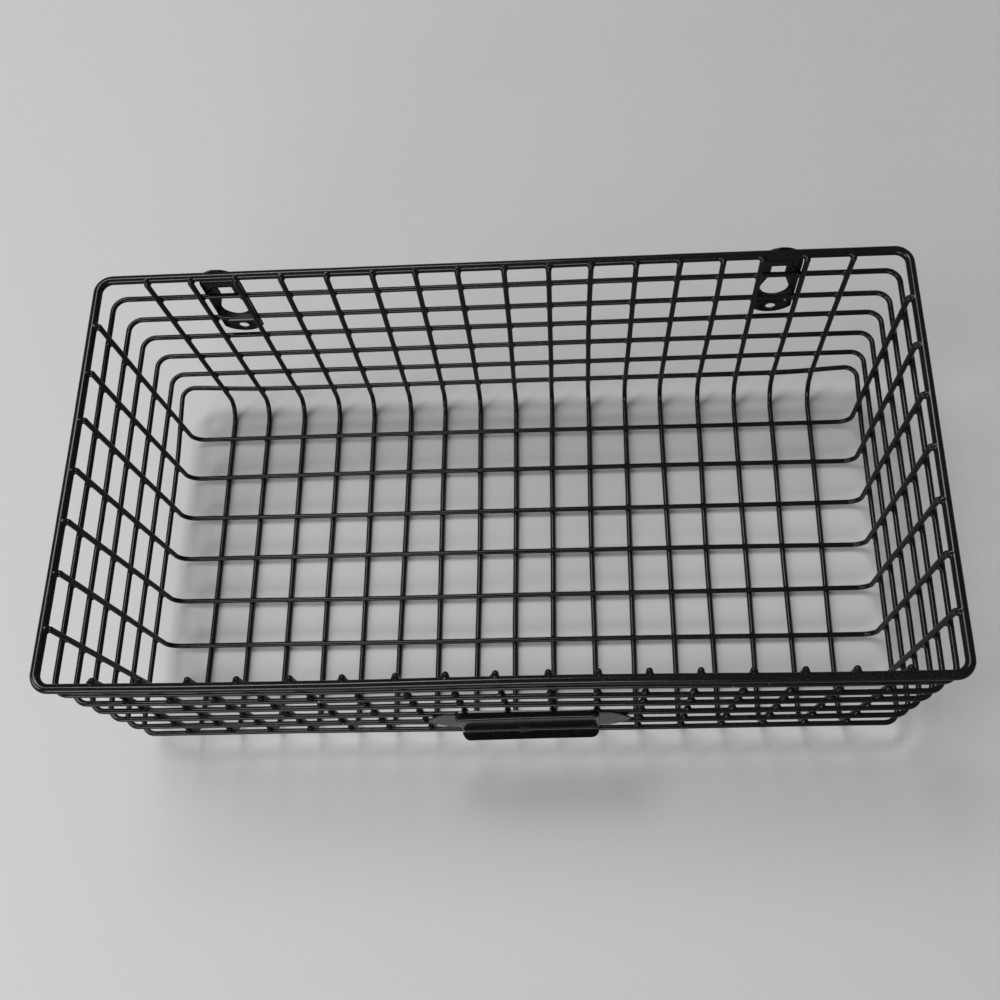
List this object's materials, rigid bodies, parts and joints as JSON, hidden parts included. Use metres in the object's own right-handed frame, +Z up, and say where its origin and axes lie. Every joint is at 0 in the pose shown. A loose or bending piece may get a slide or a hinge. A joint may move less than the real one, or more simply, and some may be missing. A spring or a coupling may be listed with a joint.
{
  "type": "wire locker basket",
  "caption": "Rectangular welded wire basket in black enamel, open at the top, with keyhole hanger plates on the back wall and a pressed pull with pointed ears on the front.",
  "frame": {"origin": "middle of the outer box at the underside of the floor wires, where the basket rests", "axes": "+Z up, +X to the right along the length, -Y towards the front wall that carries the pull; the hangers are at +Y"},
  "size_m": [0.474, 0.2572, 0.166],
  "materials": {
    "rim_enamel": "semi-gloss black enamel on steel wire, a few small chips",
    "wire_enamel": "semi-gloss black enamel on steel wire, thicker at the welds",
    "plate_enamel": "gloss black enamel on pressed steel sheet"
  },
  "bodies": {
    "root": {"rim": "rim_enamel", "hoop_1": "wire_enamel", "hoop_2": "wire_enamel", "hoop_3": "wire_enamel", "hoop_4": "wire_enamel", "hoop_5": "wire_enamel", "hoop_6": "wire_enamel", "cross_wire_01": "wire_enamel", "cross_wire_02": "wire_enamel", "cross_wire_03": "wire_enamel", "cross_wire_04": "wire_enamel", "cross_wire_05": "wire_enamel", "cross_wire_06": "wire_enamel", "cross_wire_07": "wire_enamel", "cross_wire_08": "wire_enamel", "cross_wire_09": "wire_enamel", "cross_wire_10": "wire_enamel", "cross_wire_11": "wire_enamel", "cross_wire_12": "wire_enamel", "cross_wire_13": "wire_enamel", "cross_wire_14": "wire_enamel", "cross_wire_15": "wire_enamel", "cross_wire_16": "wire_enamel", "cross_wire_17": "wire_enamel", "long_wire_1": "wire_enamel", "long_wire_2": "wire_enamel", "long_wire_3": "wire_enamel", "long_wire_4": "wire_enamel", "long_wire_5": "wire_enamel", "long_wire_6": "wire_enamel", "long_wire_7": "wire_enamel", "hanger_left": "plate_enamel", "hanger_right": "plate_enamel", "front_pull": "plate_enamel"}
  },
  "joints": []
}
